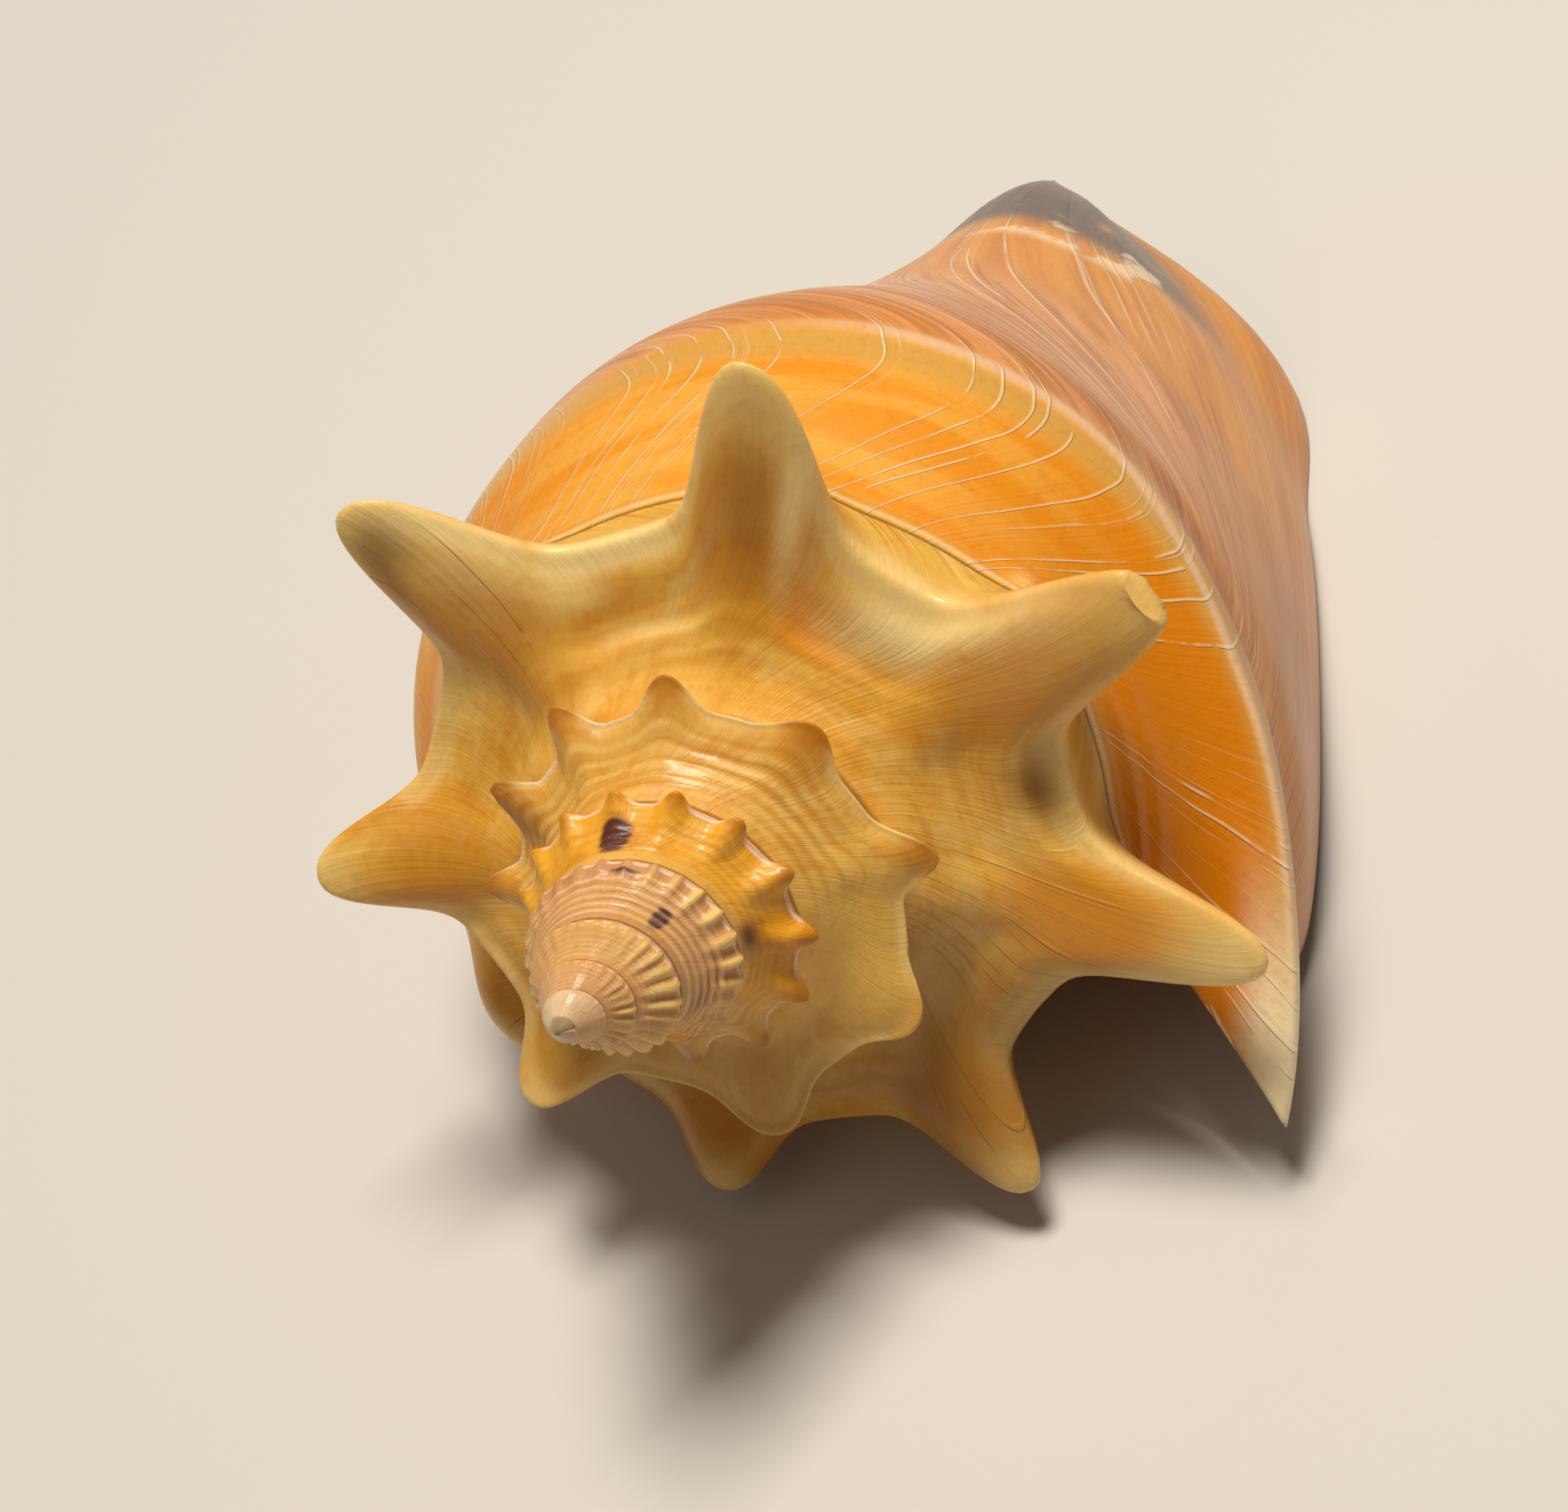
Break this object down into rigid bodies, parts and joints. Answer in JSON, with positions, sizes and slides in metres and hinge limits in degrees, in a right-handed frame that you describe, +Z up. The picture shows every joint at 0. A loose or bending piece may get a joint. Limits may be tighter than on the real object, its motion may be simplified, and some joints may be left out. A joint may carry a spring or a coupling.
{
  "type": "fighting conch shell",
  "caption": "Adult fighting conch shell lying on its aperture: a low spiny spire, a broad body whorl, a flared outer lip and a short bent canal, hollow at the aperture.",
  "frame": {"origin": "centre of the bounding box's bottom, on the surface that the shell lies on", "axes": "+Z up as the shell lies on its aperture; +Y along the shell toward its anterior canal, so the spire points to -Y; +X to the right, the outer lip's side"},
  "size_m": [0.0512, 0.0838, 0.0508],
  "materials": {
    "shell": "polished natural shell, orange-yellow with cream spines and a pink-mauve side"
  },
  "bodies": {
    "root": {"shell": "shell"}
  },
  "joints": []
}
